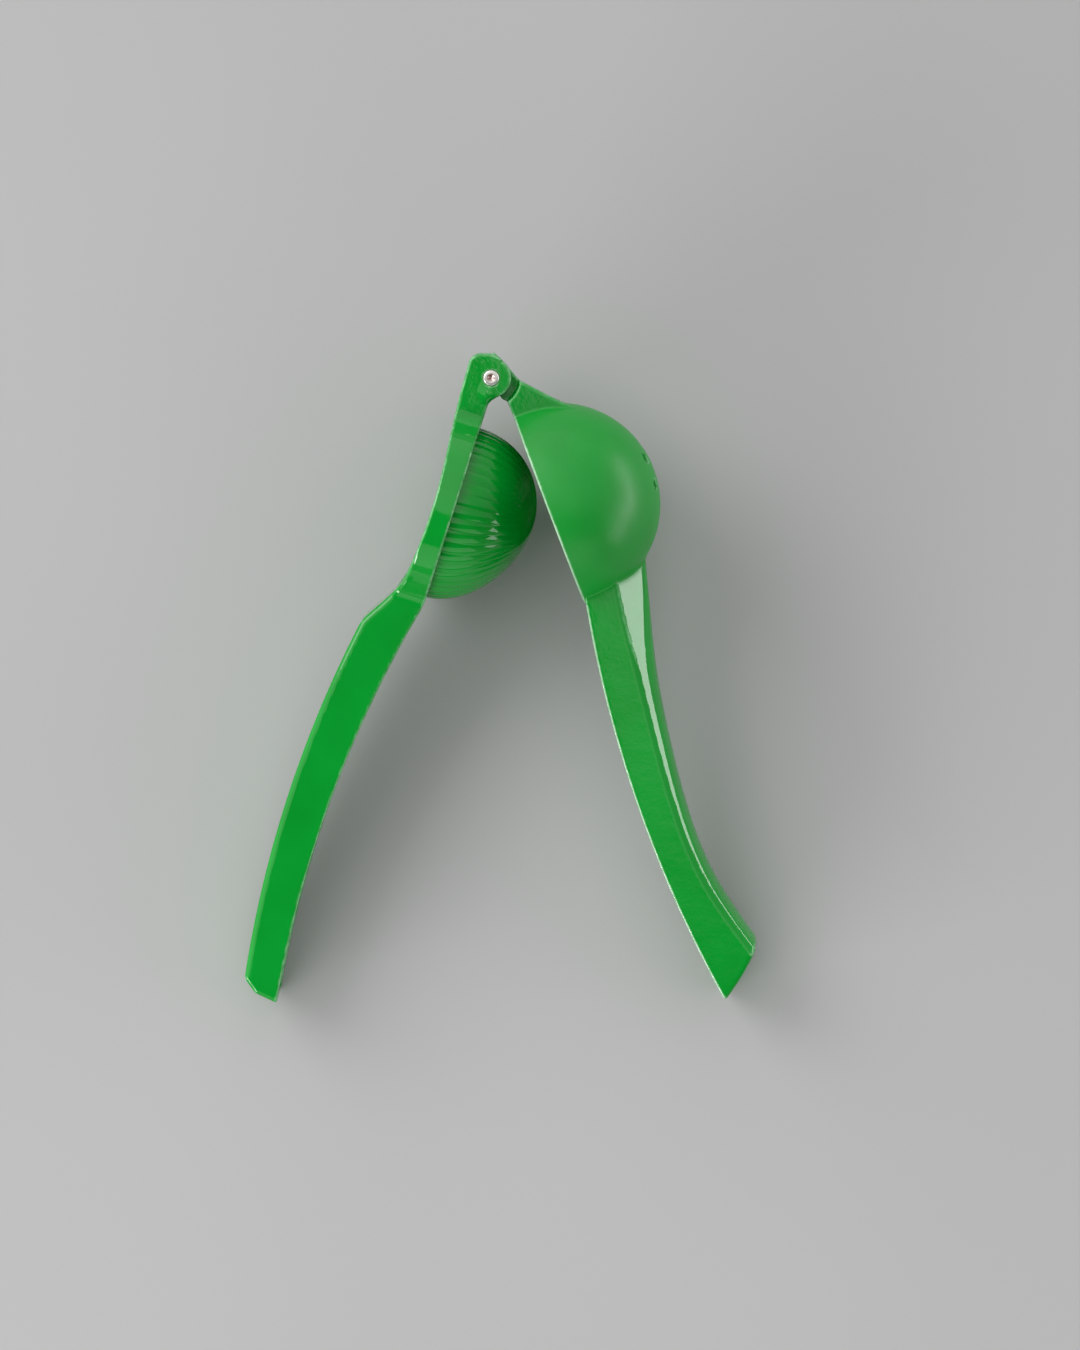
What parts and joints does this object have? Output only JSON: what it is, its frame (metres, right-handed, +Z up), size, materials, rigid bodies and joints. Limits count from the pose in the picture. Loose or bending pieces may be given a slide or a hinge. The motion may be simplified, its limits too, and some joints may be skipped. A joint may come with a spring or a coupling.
{
  "type": "hinged lemon squeezer",
  "caption": "Hinged hand squeezer for lemons: a fluted dome presses a half lemon into a bowl with juice holes, worked by long channel handles.",
  "frame": {"origin": "centre of the base: the middle of the bounding box in X and Y, on the surface the tool lies on", "axes": "+Z up from that surface, +Y towards the hinge along the middle line between the handles, +X towards the bowl arm"},
  "size_m": [0.1644, 0.2086, 0.0651],
  "materials": {
    "green_enamel": "gloss",
    "pin_steel": "satin"
  },
  "bodies": {
    "bowl_arm": {"bowl_arm": "green_enamel"},
    "press_arm": {"press_arm": "green_enamel", "hinge_pin": "pin_steel"}
  },
  "joints": [
    {"name": "hinge", "type": "hinge", "parent": "bowl_arm", "child": "press_arm", "pos_m": [-0.00376, 0.09537, 0.0378], "axis": [0.0005, 0.128, -0.9918], "range_deg": [-38.5, 121.5]}
  ]
}
